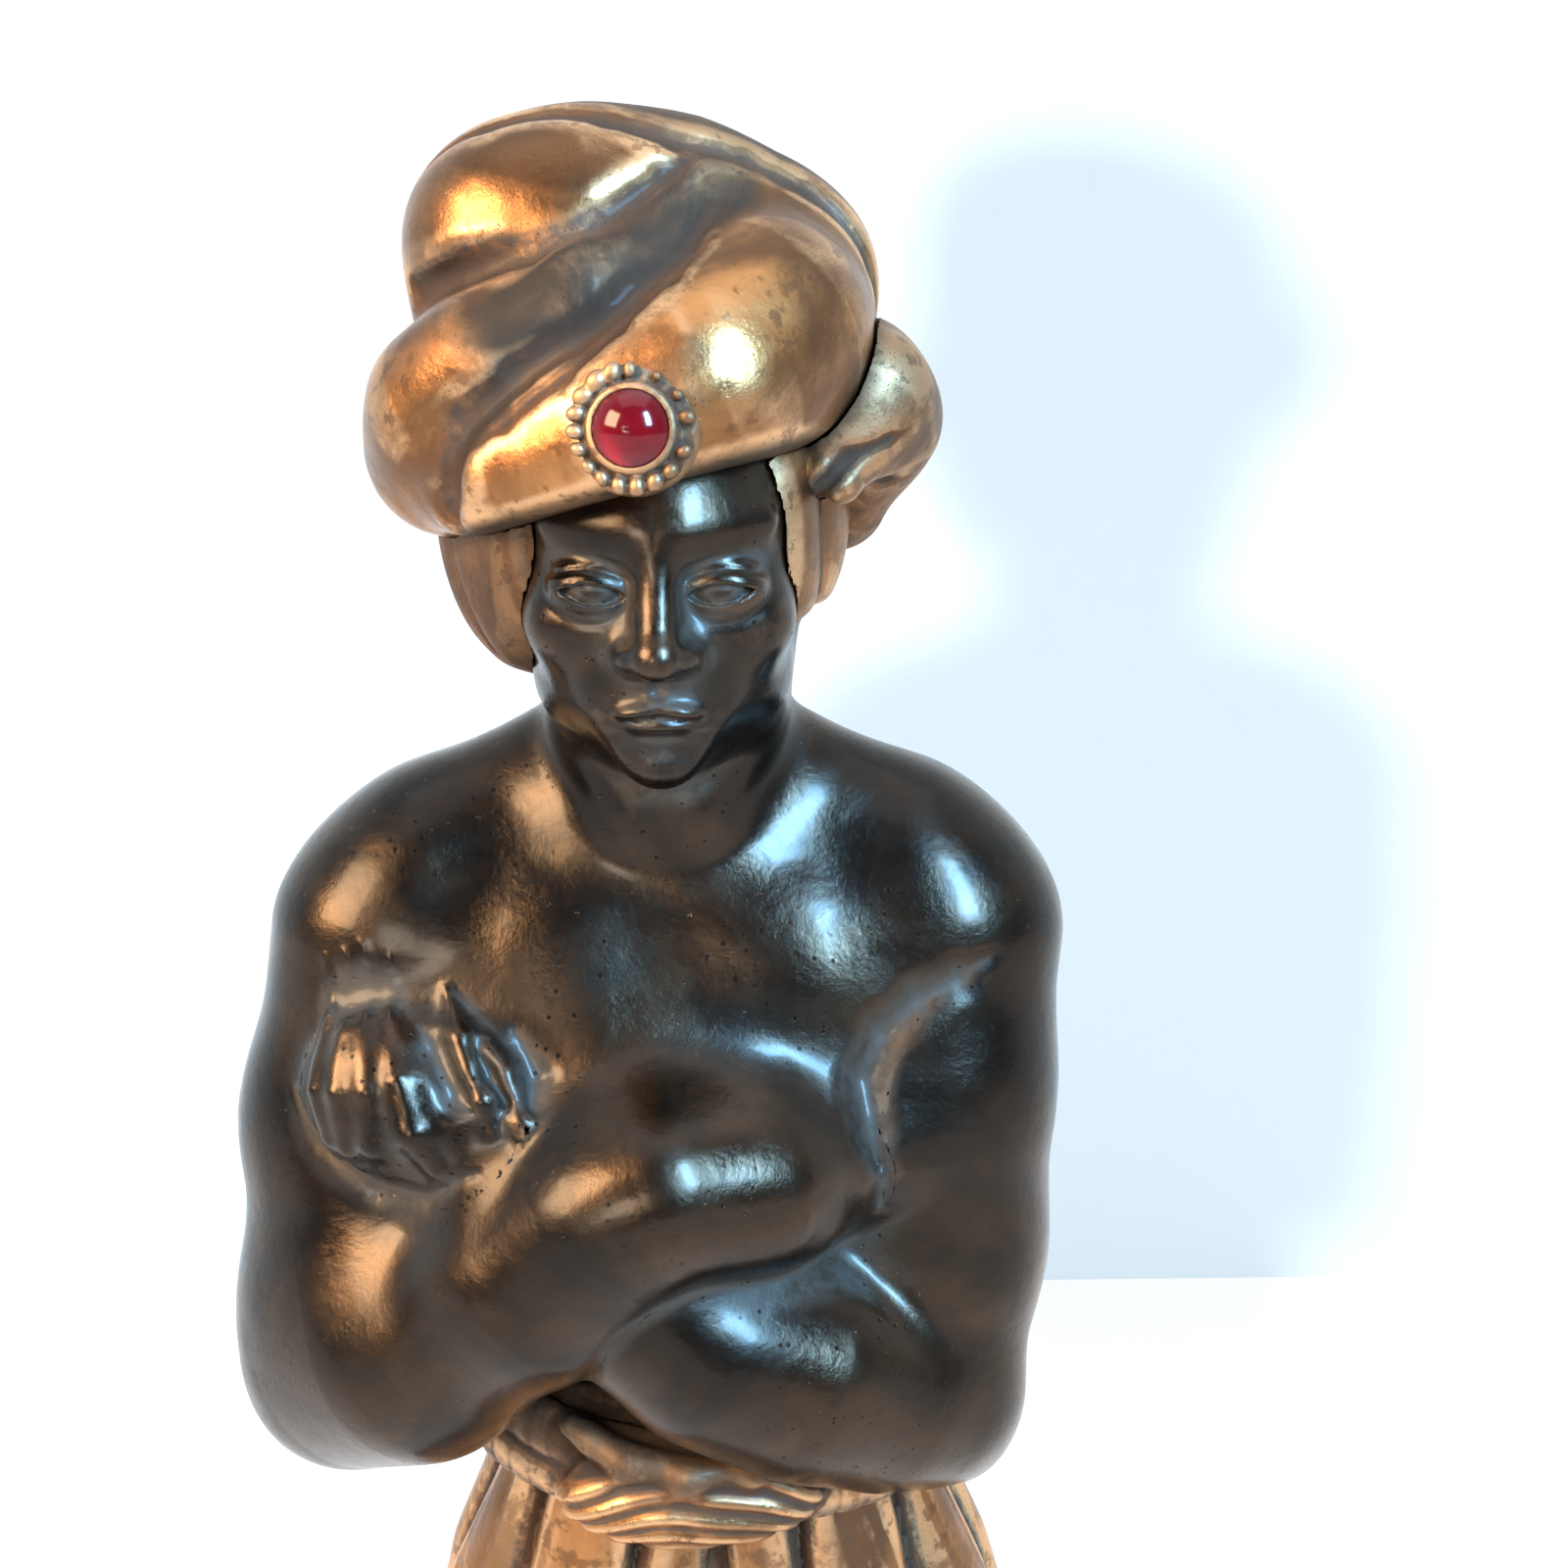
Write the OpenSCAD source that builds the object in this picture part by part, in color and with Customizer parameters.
// Bronze statuette of a turbaned man with folded arms, on a round plinth.
// The figure faces -Y, +X is its left-hand side and Z is up from the table.
// It is a multi-piece casting: the limbs, trunk, head and clothing are separate
// castings that meet on spigots, pins, rivets and studs.

/* [Overall] */
// Height of the whole piece, from the table to the top of the turban
total_h = 310; // [300:1:320]

/* [Plinth] */
// Radius of the plinth at its foot
plinth_r = 50; // [48:0.5:54]
// Height of the plinth's top above the table
plinth_top = 22; // [20:0.5:24]
// Wall of the plinth
plinth_wall = 4; // [3:0.5:5]
// Thickness of the felt under the plinth
felt_t = 2; // [1:0.5:3]
// Thickness of the plate that closes the plinth
plate_t = 1.5; // [1:0.25:2]

/* [Stance] */
// Distance from the middle of the stance to the middle of each ankle
foot_gap = 17; // [15:0.5:18]
// How far the feet turn out, in degrees
toe_out = 12; // [5:1:16]
// How far the stance is off the centre of the plinth
stance_x = 2; // [0:0.5:3]

/* [Castings] */
// Wall of the hollow trunk and trousers
wall = 3; // [2.5:0.25:4]
// Radius of the neck's spigot
neck_spigot_r = 6; // [5:0.25:7]
// Radius of the pins in the shoulders
shoulder_pin_r = 2; // [1.5:0.25:2.5]
// Clearance of a spigot in its socket, on the radius
fit = 0.1; // [0.05:0.01:0.2]

/* [Jewel] */
// Diameter of the round glass cabochon
jewel_d = 6; // [5:0.5:6.5]
// Number of beads around the setting
bead_count = 16; // [12:1:20]

/* [Hidden] */
$fn = 64;
mesh_fn = 20;
finger_fn = 10;
slice = 0.01;
skin_n = 40;

copper = "#b5763f";
dark_bronze = "#3a2a20";
steel = "#8b8d90";
brass = "#b6924a";

// Heights that the rest is worked out from
plate_z = felt_t;
screw_ring_r = plinth_r - 13;
nut_h = 3.2;
washer_t = 1;
stud_r = 2;
boss_drop = 7;
cuff_z = plinth_top + 12;
cuff_h = 8;
leg_z = cuff_z + cuff_h;
waist_z = 180;
waist_x = 3.6;
collar_z = 249;
neck_y = 3.5;
neck_r = 11.4;
shoulder_z = 236;
shoulder_x = 24;
shoulder_y = 2.5;
spigot_h = 12;
waist_spigot_h = 9;
waist_spigot = [18.8, 12.6];
crown_r = 12;
crown_z = total_h - crown_r;
jewel_at = [-1.5, -22.4, 286.2];
jewel_yaw = -6;
jewel_pitch = 12;

// Sections of the trunk, from the waist up: [z, centre x, centre y, half width, half depth]
TRUNK = [[waist_z, waist_x, 1, 20.6, 14.4], [188, 3, 1, 20, 14], [198, 2.2, 1, 21, 14.2],
    [208, 1.2, 1, 23.4, 15], [218, 0.5, 1.5, 26, 16.4], [227, 0, 2, 28, 17.4],
    [236, 0, 2.5, 29, 16.4], [243, 0, 3, 29, 12.6], [248, 0, 3.5, 25, 7]];

// Sections of one leg of the trousers, from the cuff up:
// [z, offset from the stance, y, half width, half depth]
LEG = [[leg_z + slice, foot_gap, 4, 8.2, 8.4], [46, foot_gap, 4, 12.6, 13.2],
    [53, foot_gap, 3.2, 16.4, 17.6], [64, foot_gap + 0.4, 2, 18.8, 20.6],
    [80, foot_gap + 1, 1, 19.8, 21.8], [98, foot_gap + 1, 0.6, 19.8, 21.8],
    [116, foot_gap + 0.2, 0.6, 19.2, 21], [134, foot_gap - 1.6, 0.6, 18.4, 20],
    [150, foot_gap - 4, 0.8, 17.8, 18.8], [162, foot_gap - 6.2, 1, 17, 17.4],
    [171, foot_gap - 8.4, 1, 15, 15.8], [waist_z, foot_gap - 9.8, 1, 13.2, 14.2]];

// How far the hips lean over the standing leg, at a height
function sway(z) = stance_x + (waist_x - stance_x) * max(0, (z - 90) / (waist_z - 90))
    + 1.2 * max(0, sin((z - 90) * 2));

// How square the trunk's sections are: 2 is an ellipse, more is squarer
squareness = 2.5;

// x or y of a rounded box of that squareness
function bulge(u, n) = sign(u) * pow(abs(u), 2 / n);

// A ring of points on an oval
function oval(z, cx, cy, rx, ry, n = 2) =
    [for (i = [0:skin_n - 1]) let (a = i * 360 / skin_n)
        [cx + rx * bulge(cos(a), n), cy + ry * bulge(sin(a), n), z]];

// The rings of a list of sections, shrunk by a wall thickness
function rings(sections, inset = 0, n = 2) =
    [for (s = sections) oval(s[0], s[1], s[2], s[3] - inset, s[4] - inset, n)];

// A closed skin over a stack of rings
module skin(stack) {
    levels = len(stack);
    n = len(stack[0]);
    points = [for (ring = stack) each ring];
    sides = [for (k = [0:levels - 2], i = [0:n - 1])
        [(k + 1) * n + i, (k + 1) * n + (i + 1) % n, k * n + (i + 1) % n, k * n + i]];
    bottom = [for (i = [0:n - 1]) i];
    top = [for (i = [n - 1:-1:0]) (levels - 1) * n + i];
    polyhedron(points, concat(sides, [bottom], [top]));
}

// A tube: an outer skin with an inner one taken out, as one closed surface
module sleeve(outer, inner) {
    levels = len(outer);
    total = levels * skin_n;
    points = concat([for (ring = outer) each ring], [for (ring = inner) each ring]);
    function next(i) = (i + 1) % skin_n;
    outside = [for (k = [0:levels - 2], i = [0:skin_n - 1])
        [(k + 1) * skin_n + i, (k + 1) * skin_n + next(i), k * skin_n + next(i), k * skin_n + i]];
    inside = [for (k = [0:levels - 2], i = [0:skin_n - 1])
        [total + k * skin_n + i, total + k * skin_n + next(i),
         total + (k + 1) * skin_n + next(i), total + (k + 1) * skin_n + i]];
    foot = [for (i = [0:skin_n - 1]) [i, next(i), total + next(i), total + i]];
    rim = [for (i = [0:skin_n - 1]) let (a = (levels - 1) * skin_n)
        [a + next(i), a + i, total + a + i, total + a + next(i)]];
    polyhedron(points, concat(outside, inside, foot, rim));
}

// A ball at [x, y, z, radius]
module ball(b, fn = mesh_fn) { translate([b[0], b[1], b[2]]) sphere(b[3], $fn = fn); }

// A limb through a chain of balls
module limb(chain, fn = mesh_fn) {
    for (i = [0:len(chain) - 2]) hull() {
        ball(chain[i], fn);
        ball(chain[i + 1], fn);
    }
}

// Half of space beyond a plane at x, for cutting a joint face
module beyond_x(x) { translate([x > 0 ? x : x - 200, -100, 0]) cube([200, 200, 400]); }

// Puts a sub-part on one ankle, side = -1 for the right and 1 for the left
module at_ankle(side) { translate([stance_x + side * foot_gap, 4, 0]) children(); }

module felt_pad() {
    color("#24402c") cylinder(r = plinth_r - 4, h = felt_t);
}

// Steel plate that closes the hollow plinth
module base_plate() {
    color(steel) translate([0, 0, plate_z]) difference() {
        cylinder(r = plinth_r - 8.2, h = plate_t);
        for (a = [30, 150, 270]) rotate(a) translate([screw_ring_r, 0, -1])
            cylinder(r = 1.6, h = plate_t + 2);
        for (a = [30, 150, 270]) rotate(a) translate([screw_ring_r, 0, -0.01])
            cylinder(r1 = 2.9, r2 = 1.6, h = 1.3);
    }
}

module base_screws() {
    head_z = plate_z + 0.05;
    color(steel) for (a = [30, 150, 270]) rotate(a) translate([screw_ring_r, 0, head_z]) difference() {
        union() {
            cylinder(r1 = 2.75, r2 = 1.45, h = 1.2);
            translate([0, 0, 1]) cylinder(r = 1.45, h = 7);
        }
        translate([-3, -0.3, -0.01]) cube([6, 0.6, 0.5]);
    }
}

// Profile of the plinth, from its foot up: a torus, a cove and a thin top moulding
function arc(cx, cz, r, from, to, steps = 8) =
    [for (i = [0:steps]) let (a = from + (to - from) * i / steps) [cx + r * cos(a), cz + r * sin(a)]];

module plinth_shape() {
    foot_r = 3.2;
    lip_r = 1.6;
    cove_r = 4.6;
    profile = concat([[0, felt_t], [plinth_r - 2, felt_t]],
        arc(plinth_r - foot_r, felt_t + foot_r + 0.8, foot_r, -50, 90),
        [[plinth_r - 4.4, felt_t + 2 * foot_r + 0.8]],
        arc(plinth_r - 0.2, felt_t + 2 * foot_r + 0.8 + cove_r, cove_r, -115, -180),
        [[plinth_r - 4.8, plinth_top - 2 * lip_r - 0.6], [plinth_r - 4.0, plinth_top - 2 * lip_r - 0.4]],
        arc(plinth_r - 4.2, plinth_top - lip_r, lip_r, -60, 90), [[0, plinth_top]]);
    rotate_extrude($fn = 128) polygon(profile);
}

// Round cast plinth, hollow from below, with bosses for the studs and screws
module plinth() {
    hollow_r = plinth_r - 5 - plinth_wall;
    ceiling = plinth_top - plinth_wall;
    color(dark_bronze) difference() {
        union() {
            difference() {
                plinth_shape();
                translate([0, 0, -1]) cylinder(r = hollow_r, h = ceiling + 1);
            }
            for (a = [30, 150, 270]) rotate(a) translate([screw_ring_r, 0, plate_z + plate_t])
                cylinder(r = 4.6, h = ceiling - plate_z - plate_t + 1);
            for (s = [-1, 1]) at_ankle(s) translate([0, 0, ceiling - boss_drop + plinth_wall])
                cylinder(r = 6, h = boss_drop);
        }
        translate([0, 0, plate_z - 1]) cylinder(r = plinth_r - 8, h = plate_t + 1);
        for (a = [30, 150, 270]) rotate(a) translate([screw_ring_r, 0, plate_z])
            cylinder(r = 1.5, h = 9);
        for (s = [-1, 1]) at_ankle(s) cylinder(r = stud_r + 0.2, h = plinth_top + 1);
    }
}

// One curl-toed slipper with the spigot that carries the leg
module slipper(side) {
    color(copper) difference() {
        union() {
            at_ankle(side) rotate(side * toe_out) {
                hull() {
                    translate([0, 2, plinth_top]) cylinder(r = 6.4, h = 4, $fn = 32);
                    translate([0, 1, plinth_top + 8]) sphere(5.6, $fn = 24);
                    translate([0, -18, plinth_top]) cylinder(r = 7.4, h = 3, $fn = 32);
                    translate([0, -16, plinth_top + 5.2]) sphere(5, $fn = 24);
                }
                hull() {
                    translate([0, -18, plinth_top]) cylinder(r = 7, h = 3, $fn = 32);
                    translate([0, -29, plinth_top + 3]) sphere(2.9, $fn = 24);
                }
                hull() {
                    translate([0, -29, plinth_top + 3.4]) sphere(2.8, $fn = 24);
                    translate([0, -33.5, plinth_top + 8.2]) sphere(1.4, $fn = 24);
                }
            }
            at_ankle(side) translate([0, 0, plinth_top + 4]) cylinder(r = 5, h = cuff_z - plinth_top - 4);
            at_ankle(side) translate([0, 0, cuff_z - 1]) cylinder(r = 4, h = cuff_h + 5);
        }
        at_ankle(side) translate([0, 0, plinth_top - 1]) cylinder(r = stud_r + fit, h = 40);
        translate([-100, -100, cuff_z + cuff_h + 4]) cube([200, 200, 20]);
        difference() {
            translate([-100, -100, cuff_z]) cube([200, 200, 20]);
            at_ankle(side) cylinder(r = 4, h = 100);
        }
    }
}

// Threaded stud from under the plinth, through the slipper, into the leg
module foot_stud(side) {
    color(steel) at_ankle(side) translate([0, 0, 6.5]) cylinder(r = stud_r, h = leg_z + 12 - 6.5);
}

module foot_washers() {
    under = plinth_top - boss_drop;
    color(steel) for (s = [-1, 1]) at_ankle(s) translate([0, 0, under - washer_t]) difference() {
        cylinder(r = 4.5, h = washer_t);
        translate([0, 0, -1]) cylinder(r = stud_r + 0.15, h = 3);
    }
}

module foot_nuts() {
    under = plinth_top - boss_drop - washer_t;
    color(steel) for (s = [-1, 1]) at_ankle(s) translate([0, 0, under - nut_h]) difference() {
        cylinder(r = 7 / cos(30) / 2, h = nut_h, $fn = 6);
        translate([0, 0, -1]) cylinder(r = stud_r + 0.02, h = nut_h + 2);
    }
}

// Turned ankle band that hides the joint between slipper and trousers
module cuff(side) {
    color(copper) at_ankle(side) rotate_extrude()
        polygon(concat([[4 + fit, cuff_z]], arc(6.2, cuff_z + 2, 2, -90, 90),
            arc(6, cuff_z + cuff_h - 2, 2, -90, 90), [[4 + fit, cuff_z + cuff_h]]));
}

// One leg of the trousers as a chain of oval slices
module leg(side, inset) {
    for (i = [0:len(LEG) - 2]) hull() for (s = [LEG[i], LEG[i + 1]])
        translate([sway(s[0]) + side * s[1], s[2], s[0] - slice]) scale([s[3] - inset, s[4] - inset, 1])
            cylinder(r = 1, h = slice, $fn = 28);
}

// Pleated trousers, hollow above the ankles, with sockets for the slippers' spigots
module trousers() {
    color(copper) difference() {
        union() {
            leg(-1, 0);
            leg(1, 0);
        }
        difference() {
            union() {
                leg(-1, wall);
                leg(1, wall);
            }
            translate([-100, -100, 0]) cube([200, 200, leg_z + 16]);
        }
        skin(rings(waist_spigot_rings(waist_z - waist_spigot_h - 0.2), -1.5 * fit));
        for (s = [-1, 1]) at_ankle(s) cylinder(r = 4 + 2 * fit, h = cuff_z + cuff_h + 4.2);
        for (s = [-1, 1]) at_ankle(s) cylinder(r = stud_r + fit, h = leg_z + 12.5);
        waist_rivet_bodies(fit);
    }
}

// Sections of the waist spigot
function waist_spigot_rings(low) =
    [for (z = [low, waist_z + 1]) [z, waist_x, 1, waist_spigot[0], waist_spigot[1]]];

// Sash: a band round the waist, with a swag of cloth over the front
module sash() {
    low = 177.5;
    high = 189;
    mid = waist_z + 2;
    swag = [[11.5, 4.5, 2], [11, 0.5, 0], [9, -3.5, -2]];
    outer = [[low, waist_x + 0.6, 0.8, 26.4, 18.4], [mid, waist_x + 0.2, 0.8, 26.4, 18.8],
        [high, waist_x - 0.6, 0.9, 23.2, 16.8]];
    inner = [[low, waist_x + 0.6, 0.8, 24.4, 16.4], [mid, waist_x + 0.2, 0.8, 23, 15.8],
        [high, waist_x - 0.6, 0.9, 21.6, 15.4]];
    color(copper) difference() {
        union() {
            sleeve(rings(outer), rings(inner));
            translate([waist_x - 2.4, -18, low]) for (fold = swag, s = [-1, 1]) hull() {
                translate([s * fold[0], 1.2, fold[1]]) sphere(2.2, $fn = mesh_fn);
                translate([0, -0.8, fold[2] - 3]) sphere(2.6, $fn = mesh_fn);
            }
        }
        limb([for (b = ARM_L) [b[0], b[1], b[2], b[3] + fit]]);
    }
}

// Four rivets that pin the trunk's spigot into the trousers, under the sash
module waist_rivet_bodies(grow = 0) {
    z = waist_z - 4.5;
    for (a = [45, 135, 225, 315]) translate([waist_x, 1, z]) rotate(a) translate([10.5, 0, 0])
        rotate([0, 90, 0]) cylinder(r = 1.2 + grow, h = 6 + 2 * grow, $fn = 24);
}

module waist_rivets() { color(brass) waist_rivet_bodies(); }

// Hollow trunk with its waist spigot, neck socket and shoulder sockets
module torso() {
    inner = [for (i = [0:5]) TRUNK[i]];
    color(dark_bronze) difference() {
        union() {
            skin(rings(TRUNK, 0, squareness));
            skin(rings(waist_spigot_rings(waist_z - waist_spigot_h)));
            translate([0, neck_y, collar_z - 12]) cylinder(r = neck_r, h = 12);
        }
        mouth = [waist_z - waist_spigot_h - 1, waist_x, 1, waist_spigot[0], waist_spigot[1]];
        skin(rings(concat([mouth], inner), wall));
        translate([0, neck_y, collar_z - spigot_h - 0.2]) cylinder(r = neck_spigot_r + fit / 2, h = 20);
        for (s = [-1, 1]) translate([s * shoulder_x, shoulder_y, shoulder_z]) rotate([0, 90, 0])
            cylinder(r = shoulder_pin_r + fit / 2, h = 15, center = true);
        neck_pin_body(fit / 2, 30);
        waist_rivet_bodies(fit);
        for (s = [-1, 1]) beyond_x(s * shoulder_x);
    }
}

// Right arm, in front: shoulder, upper arm, elbow, forearm and the hand tucked under the left arm
ARM_R = [[-26.5, 2.5, 236, 12], [-28.5, 0.5, 226, 11], [-31, -1, 212, 10.4], [-32.8, -5, 201, 9.2],
    [-32.2, -9, 191.5, 9.4], [-22, -17.5, 199, 10.2], [-12, -23.5, 206.5, 9.8], [-2, -25.5, 213.5, 8.2],
    [6, -24.5, 217, 7.2], [13, -20.5, 220.5, 7]];

// Left arm, behind: its hand comes out above the right forearm
ARM_L = [[26, 2.5, 236, 12], [26, 0.5, 225, 11], [26, -1, 210, 10.2], [26, -5, 197, 9.4],
    [24.5, -8, 185.5, 9.6], [16, -15, 192.5, 9.8], [7, -20, 200, 9], [-3, -21, 209, 7.4],
    [-12, -20.5, 217.5, 6], [-17.5, -19.5, 222.5, 5.6]];

// Fingers of the left hand on the right upper arm, each from knuckle to tip: [x, y, z, radius]
FINGERS_L = [[[-20.5, -20, 230.5, 2.5], [-25, -17, 233.5, 2.2], [-28.6, -12, 235, 2]],
    [[-22, -20, 226.6, 2.6], [-27.4, -17, 229.4, 2.3], [-31.6, -11.6, 231, 2]],
    [[-22, -20, 222.4, 2.5], [-28, -16.6, 225, 2.2], [-32.6, -11.4, 226.6, 2]],
    [[-21, -19.6, 218.6, 2.3], [-27, -16.4, 220.6, 2], [-31.4, -12, 222, 1.8]]];
THUMB_L = [[-16, -21.5, 226, 2.8], [-16.4, -20, 231, 2.5], [-18.4, -17, 234.6, 2.2]];

module arm_bore(side) {
    translate([side * shoulder_x, shoulder_y, shoulder_z]) rotate([0, side * 90, 0])
        translate([0, 0, -1]) cylinder(r = shoulder_pin_r + fit, h = 9, $fn = 32);
}

module arm_right() {
    color(dark_bronze) difference() {
        limb(ARM_R);
        translate([-shoulder_x, -8, shoulder_z - 12]) cube([30, 200, 50]);
        skin(rings(TRUNK, -fit, squareness));
        limb(ARM_L);
        left_hand();
        arm_bore(-1);
    }
}

module left_hand() {
    for (finger = FINGERS_L) limb(finger, finger_fn);
    limb(THUMB_L, finger_fn);
    hull() {
        ball([-17.5, -19.5, 222.5, 5.6]);
        for (finger = FINGERS_L) ball(finger[0]);
    }
}

module arm_left() {
    color(dark_bronze) difference() {
        union() {
            limb(ARM_L);
            left_hand();
        }
        translate([shoulder_x - 30, -8, shoulder_z - 12]) cube([30, 200, 50]);
        skin(rings(TRUNK, -fit, squareness));
        leg(1, 0);
        limb([for (i = [0:3]) ARM_R[i]]);
        arm_bore(1);
    }
}

// Steel pin across one shoulder joint
module shoulder_pin(side) {
    color(steel) translate([side * shoulder_x, shoulder_y, shoulder_z]) rotate([0, 90, 0])
        cylinder(r = shoulder_pin_r, h = 14.6, center = true);
}

// The head and neck, with the spigot that seats in the trunk
module head() {
    color(dark_bronze) difference() {
        union() {
            skull();
            hull() {
                ball([0, -10, 266, 8.4]);
                ball([0, -14, 257.4, 4.2]);
                for (s = [-1, 1]) ball([s * 7.4, -3.5, 260, 4.6]);
                for (s = [-1, 1]) ball([s * 9, -7, 268, 4.6]);
            }
            hull() {
                ball([0, -17, 274, 1.4]);
                ball([0, -20.4, 267.4, 1.8]);
            }
            ears();
            translate([0, neck_y, collar_z]) cylinder(r = neck_r, h = 16);
            translate([0, neck_y, collar_z - spigot_h]) cylinder(r = neck_spigot_r, h = spigot_h + 2);
        }
        neck_pin_body(fit / 2, 30);
        turban_pin_bodies(fit / 2);
    }
}

module ears(grow = 0) {
    for (s = [-1, 1]) translate([s * 12.6, 0.5, 267.5]) hull() scale([1.9 + grow, 3.4 + grow, 5.2 + grow])
        sphere(1, $fn = mesh_fn);
}

// Cross pin, driven in from the back, that holds the neck's spigot
module neck_pin_body(grow, h) {
    translate([0, neck_y - 5 - grow, collar_z - 6]) rotate([-90, 0, 0]) cylinder(r = 1 + grow, h = h);
}

module neck_pin() { color(steel) neck_pin_body(0, 14); }

// One roll of wound cloth: balls round a tilted oval, joined in a ring
module roll(at, rx, ry, r, tilt, from = 0, to = 330, step = 30) {
    translate(at) rotate(tilt) for (a = [from:step:to]) hull() for (b = [a, a + step])
        translate([rx * cos(b), ry * sin(b), 0]) sphere(r, $fn = 14);
}

// Dome of the skull, grown for the inside of the turban
module skull(grow = 0) {
    translate([0, -2.5, 274.5]) hull() scale([12.6 + grow, 16.4 + grow, 15 + grow]) sphere(1, $fn = 32);
}

module front_roll() { roll([-2.6, 1, 284.5], 13.8, 16, 7.4, [-8, -14, 0]); }

module turban() {
    color(copper) difference() {
        union() {
            front_roll();
            roll([-3.4, 2, 293.5], 11.5, 12.4, 6.6, [4, -16, 0]);
            hull() {
                ball([-9.5, 2, crown_z - 1.5, crown_r]);
                ball([-3, 4, crown_z, crown_r]);
                ball([6, 4, crown_z - 5, crown_r]);
                ball([-3, 4, 290, 14]);
            }
        }
        skull(fit);
        turban_pin_bodies(fit / 2);
        jewel_frame() translate([0, 0, -3.2]) cylinder(r = jewel_d / 2 + 2.4, h = 30);
        jewel_frame() translate([0, 0, -6.4]) cylinder(r = 1, h = 30);
        knot_body();
    }
}

// Brass pins from the turban into the skull
module turban_pin_bodies(grow = 0) {
    for (x = [-5, 5]) translate([x, 0, 283 - grow]) cylinder(r = 1 + grow, h = 10 + 2 * grow, $fn = 24);
}

module turban_pins() { color(brass) turban_pin_bodies(); }

// The tucked end of the cloth over the left ear: three lobes gathered at the temple
module knot_body() {
    limb([[14.5, -3, 276.5, 3.4], [18.5, -1.5, 284, 4.6], [16.5, 2, 290.5, 4.4]]);
    limb([[14.5, -2, 275, 3.4], [19, 3.5, 281, 5], [18.5, 7, 287, 4.4]]);
    limb([[14, -1.5, 273.5, 3.2], [17.6, 5, 274, 4.4], [17, 9.5, 279, 4.6]]);
}

module turban_knot() {
    color(copper) difference() {
        knot_body();
        skull(fit);
        ears(fit);
    }
}

// The loose cloth that hangs at the nape
module turban_drape() {
    color(copper) difference() {
        hull() {
            ball([-12.5, 8, 276, 5]);
            ball([11, 10, 276, 5]);
            ball([-14, 8.5, 264, 3.6]);
            ball([9, 13.5, 259, 3.2]);
            ball([-8, 14, 257, 3.2]);
        }
        skull(fit);
        hull() for (s = [-1, 1]) {
            ball([s * 7.4, -3.5, 260, 4.6 + fit]);
            ball([s * 9, -7, 268, 4.6 + fit]);
        }
        ears(fit);
        translate([0, neck_y, 240]) cylinder(r = neck_r + 0.1, h = 40);
        front_roll();
        knot_body();
    }
}

// Frame of the jewel: +Z points out of the turban
module jewel_frame() {
    translate(jewel_at) rotate([0, 0, jewel_yaw]) rotate([90 - jewel_pitch, 0, 0]) children();
}

// Cast setting: a cup with a raised rim, a ring of beads and a post
module jewel_setting() {
    r = jewel_d / 2;
    color(copper) jewel_frame() {
        difference() {
            union() {
                translate([0, 0, -3.1]) cylinder(r = r + 2.3, h = 3);
                cylinder(r = r + 0.7, h = 0.9);
                translate([0, 0, -0.5]) cylinder(r = r + 0.7, h = 1);
                translate([0, 0, -6.2]) cylinder(r = 0.9, h = 4);
            }
            translate([0, 0, -1.3]) cylinder(r = r + 0.05, h = 5);
        }
        for (i = [0:bead_count - 1]) rotate(i * 360 / bead_count) translate([r + 1.45, 0, 0])
            sphere(0.62, $fn = 16);
    }
}

module jewel_foil() {
    color("silver") jewel_frame() translate([0, 0, -1.3]) cylinder(r = jewel_d / 2, h = 0.1);
}

// Domed glass cabochon on its foil
module jewel() {
    r = jewel_d / 2;
    dome_r = 3.9;
    color("#9b1030") jewel_frame() intersection() {
        translate([0, 0, -1.2]) cylinder(r = r, h = 6);
        translate([0, 0, 2.1 - dome_r]) sphere(dome_r);
    }
}

felt_pad();
base_plate();
base_screws();
plinth();
slipper(-1);  // slipper_right
slipper(1);  // slipper_left
foot_stud(-1);  // foot_stud_right
foot_stud(1);  // foot_stud_left
foot_washers();
foot_nuts();
cuff(-1);  // cuff_right
cuff(1);  // cuff_left
trousers();
sash();
waist_rivets();
torso();
arm_right();
arm_left();
shoulder_pin(-1);  // shoulder_pin_right
shoulder_pin(1);  // shoulder_pin_left
head();
neck_pin();
turban();
turban_knot();
turban_drape();
turban_pins();
jewel_setting();
jewel_foil();
jewel();
